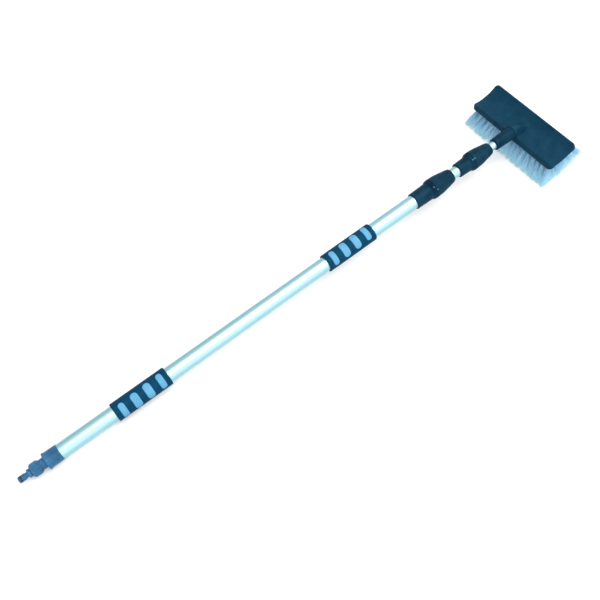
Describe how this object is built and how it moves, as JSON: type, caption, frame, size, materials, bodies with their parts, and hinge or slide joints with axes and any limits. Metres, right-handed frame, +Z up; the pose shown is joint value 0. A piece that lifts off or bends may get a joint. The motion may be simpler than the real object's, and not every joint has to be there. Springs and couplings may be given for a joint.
{
  "type": "telescopic water-fed brush",
  "caption": "Telescopic pole with twist locks and grips, a push-on hose nipple at one end and a wide bristle head at the other, fed with water through its tubes.",
  "frame": {"origin": "middle of the box's base, on the floor that the collapsed brush lies on", "axes": "+X from the hose end to the brush head, along the pole's shadow; +Y across, along the head; +Z up, out of the head's back"},
  "size_m": [1.3076, 0.2438, 0.0834],
  "materials": {
    "navy_plastic": "fine-grained moulded plastic, semi-matt",
    "sleeve_plastic": "soft moulded plastic, matt",
    "pad_plastic": "soft moulded plastic, matt",
    "tube_aluminium": "satin anodised, drawn lengthwise",
    "seal_rubber": "matt",
    "guide_plastic": "natural moulded plastic",
    "bristle_nylon": "translucent filament"
  },
  "bodies": {
    "handle": {"hose_adaptor": "navy_plastic", "nipple_oring": "seal_rubber", "hose_washer": "seal_rubber", "end_cap": "navy_plastic", "end_cap_oring": "seal_rubber", "outer_tube": "tube_aluminium", "lower_grip_core": "pad_plastic", "lower_grip_sleeve": "sleeve_plastic", "upper_grip_core": "pad_plastic", "upper_grip_sleeve": "sleeve_plastic", "lock_1_body": "navy_plastic"},
    "lock_1_thrust": {"lock_1_collet": "guide_plastic"},
    "lock_1_turn": {"lock_1_nut": "navy_plastic"},
    "middle_carriage": {"middle_guide": "guide_plastic", "middle_guide_oring": "seal_rubber"},
    "middle_section": {"middle_tube": "tube_aluminium", "lock_2_body": "navy_plastic"},
    "lock_2_thrust": {"lock_2_collet": "guide_plastic"},
    "lock_2_turn": {"lock_2_nut": "navy_plastic"},
    "inner_carriage": {"inner_guide": "guide_plastic", "inner_guide_oring": "seal_rubber"},
    "inner_section": {"inner_tube": "tube_aluminium", "neck": "navy_plastic", "neck_washer": "seal_rubber", "neck_oring": "seal_rubber", "head_shell": "navy_plastic", "tuft_plate": "navy_plastic", "near_bristles": "bristle_nylon", "near_inner_bristles": "bristle_nylon", "far_inner_bristles": "bristle_nylon", "far_bristles": "bristle_nylon"}
  },
  "joints": [
    {"name": "lock_1_collet_slide", "type": "slide", "parent": "handle", "child": "lock_1_thrust", "axis": [0.999, 0, 0.0443], "range_m": [0, 0.00133]},
    {"name": "lock_1_nut_twist", "type": "hinge", "parent": "lock_1_thrust", "child": "lock_1_turn", "pos_m": [-0.65356, 0, 0.01471], "axis": [0.999, 0, 0.0443], "range_deg": [0, 120]},
    {"name": "middle_tube_slide", "type": "slide", "parent": "handle", "child": "middle_carriage", "axis": [0.999, 0, 0.0443], "range_m": [0, 0.79]},
    {"name": "middle_tube_swivel", "type": "hinge", "parent": "middle_carriage", "child": "middle_section", "pos_m": [-0.65356, 0, 0.01471], "axis": [0.999, 0, 0.0443], "continuous": true},
    {"name": "lock_2_collet_slide", "type": "slide", "parent": "middle_section", "child": "lock_2_thrust", "axis": [0.999, 0, 0.0443], "range_m": [0, 0.00133]},
    {"name": "lock_2_nut_twist", "type": "hinge", "parent": "lock_2_thrust", "child": "lock_2_turn", "pos_m": [-0.65356, 0, 0.01471], "axis": [0.999, 0, 0.0443], "range_deg": [0, 120]},
    {"name": "inner_tube_slide", "type": "slide", "parent": "middle_section", "child": "inner_carriage", "axis": [0.999, 0, 0.0443], "range_m": [0, 0.84]},
    {"name": "inner_tube_swivel", "type": "hinge", "parent": "inner_carriage", "child": "inner_section", "pos_m": [-0.65356, 0, 0.01471], "axis": [0.999, 0, 0.0443], "continuous": true}
  ],
  "couplings": [
    {"joint": "lock_1_nut_twist", "follows": "lock_1_collet_slide", "rad_per_m": 1570.8},
    {"joint": "lock_2_nut_twist", "follows": "lock_2_collet_slide", "rad_per_m": 1570.8}
  ]
}
